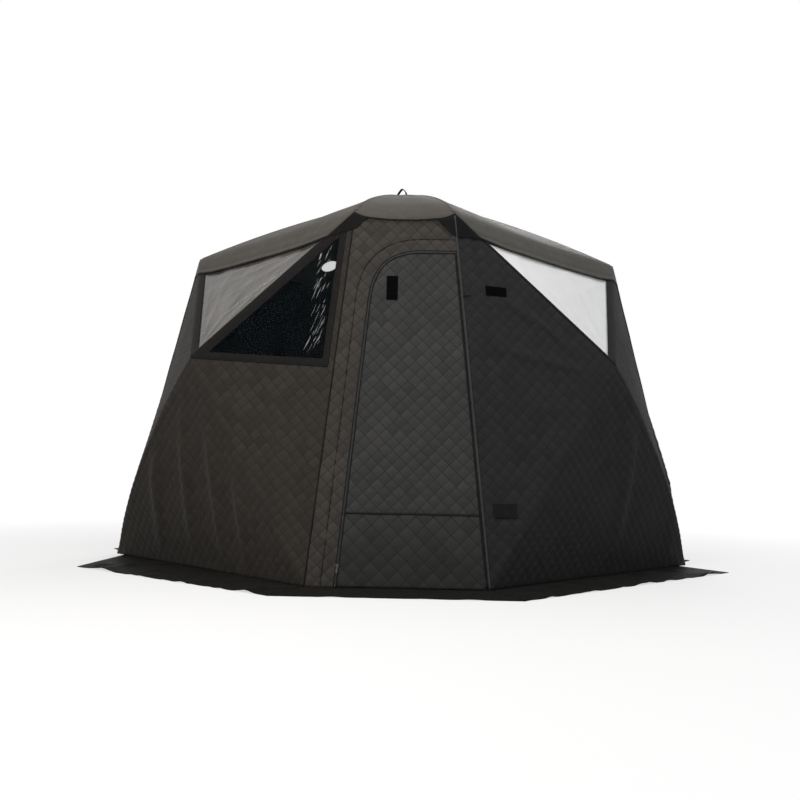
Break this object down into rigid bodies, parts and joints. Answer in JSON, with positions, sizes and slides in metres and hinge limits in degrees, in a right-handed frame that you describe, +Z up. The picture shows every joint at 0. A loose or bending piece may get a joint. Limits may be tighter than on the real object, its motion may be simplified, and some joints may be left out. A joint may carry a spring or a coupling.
{
  "type": "sauna tent",
  "caption": "Black pop-up sauna tent: padded hub walls pushed out by bent rods, roof canopy, arched zip door, film windows, flue port and ground flaps.",
  "frame": {"origin": "middle of the footprint's box, on the ground", "axes": "+Z up; the door wall faces -Y; +X to the right as seen by someone who faces the door"},
  "size_m": [3.8548, 3.5704, 2.3879],
  "materials": {
    "padded_fabric": "matt, quilted",
    "padded_door_fabric": "matt, quilted",
    "roof_fabric": "soft sheen, plain weave",
    "hazy_grey_film": "hazy, crinkled",
    "dark_clear_film": "glossy, dark",
    "pale_frosted_film": "milky",
    "black_glass_fibre": "smooth",
    "black_nylon": "satin",
    "black_webbing": "woven",
    "zip_tape": "woven, with coil teeth",
    "hook_fastener": "brushed",
    "ground_sheet_fabric": "coated",
    "blackened_metal": "dark, worn"
  },
  "bodies": {
    "tent": {"door_wall": "padded_fabric", "eyelet_back_left": "blackened_metal", "eyelet_back_right": "blackened_metal", "eyelet_door_left": "blackened_metal", "eyelet_door_right": "blackened_metal", "eyelet_front_left": "blackened_metal", "eyelet_front_right": "blackened_metal", "flue_port_ring": "black_webbing", "hook_patch_wall": "hook_fastener", "hub_back_left": "black_nylon", "hub_back_right": "black_nylon", "hub_front_left": "black_nylon", "hub_front_right": "black_nylon", "hub_roof": "black_nylon", "mud_flap_back_left": "ground_sheet_fabric", "mud_flap_back_right": "ground_sheet_fabric", "mud_flap_door": "ground_sheet_fabric", "mud_flap_front_left": "ground_sheet_fabric", "mud_flap_front_right": "ground_sheet_fabric", "pole_back_left_eave_back": "black_glass_fibre", "pole_back_left_eave_left": "black_glass_fibre", "pole_back_left_foot_back": "black_glass_fibre", "pole_back_left_foot_left": "black_glass_fibre", "pole_back_right_eave_back": "black_glass_fibre", "pole_back_right_eave_right": "black_glass_fibre", "pole_back_right_foot_back": "black_glass_fibre", "pole_back_right_foot_right": "black_glass_fibre", "pole_front_left_eave_door": "black_glass_fibre", "pole_front_left_eave_left": "black_glass_fibre", "pole_front_left_foot_door": "black_glass_fibre", "pole_front_left_foot_left": "black_glass_fibre", "pole_front_right_eave_door": "black_glass_fibre", "pole_front_right_eave_right": "black_glass_fibre", "pole_front_right_foot_door": "black_glass_fibre", "pole_front_right_foot_right": "black_glass_fibre", "pole_roof_back": "black_glass_fibre", "pole_roof_door_left": "black_glass_fibre", "pole_roof_door_right": "black_glass_fibre", "pole_roof_left": "black_glass_fibre", "pole_roof_right": "black_glass_fibre", "roof_canopy": "roof_fabric", "roof_pull_loop": "black_webbing", "wall_back_left": "padded_fabric", "wall_back_right": "padded_fabric", "wall_front_left": "padded_fabric", "wall_front_right": "padded_fabric", "window_film_left_front": "dark_clear_film", "window_film_left_side": "hazy_grey_film", "window_film_right_side": "pale_frosted_film", "zip_tape_wall": "zip_tape"},
    "door": {"door_panel": "padded_door_fabric", "door_kick_panel": "padded_door_fabric", "zip_tape_door": "zip_tape", "hook_patch_door": "hook_fastener"},
    "zip_slider": {"zip_slider": "blackened_metal"},
    "zip_pull": {"zip_pull": "blackened_metal"},
    "vent_flap": {"vent_flap": "black_webbing"},
    "flue_cover": {"flue_cover": "roof_fabric"}
  },
  "joints": [
    {"name": "door_swing", "type": "hinge", "parent": "tent", "child": "door", "pos_m": [0.44, -1.48821, 0], "axis": [-0.0935, 0.1413, 0.9855], "range_deg": [0, 140]},
    {"name": "zip_slide", "type": "slide", "parent": "door", "child": "zip_slider", "axis": [0.0847, 0.1414, 0.9863], "range_m": [0, 1.3]},
    {"name": "zip_pull_swing", "type": "hinge", "parent": "zip_slider", "child": "zip_pull", "pos_m": [-0.28441, -1.4809, 0.10101], "axis": [-0.9964, 0.012, 0.0839], "range_deg": [0, 170]},
    {"name": "vent_flap_hinge", "type": "hinge", "parent": "tent", "child": "vent_flap", "pos_m": [0.51862, -1.38335, 0.40706], "axis": [-0.9195, -0.3932, 0], "range_deg": [0, 150]},
    {"name": "flue_cover_hinge", "type": "hinge", "parent": "tent", "child": "flue_cover", "pos_m": [-0.49733, 0.35512, 2.04628], "axis": [-0.7071, -0.7071, 0], "range_deg": [0, 180]}
  ]
}
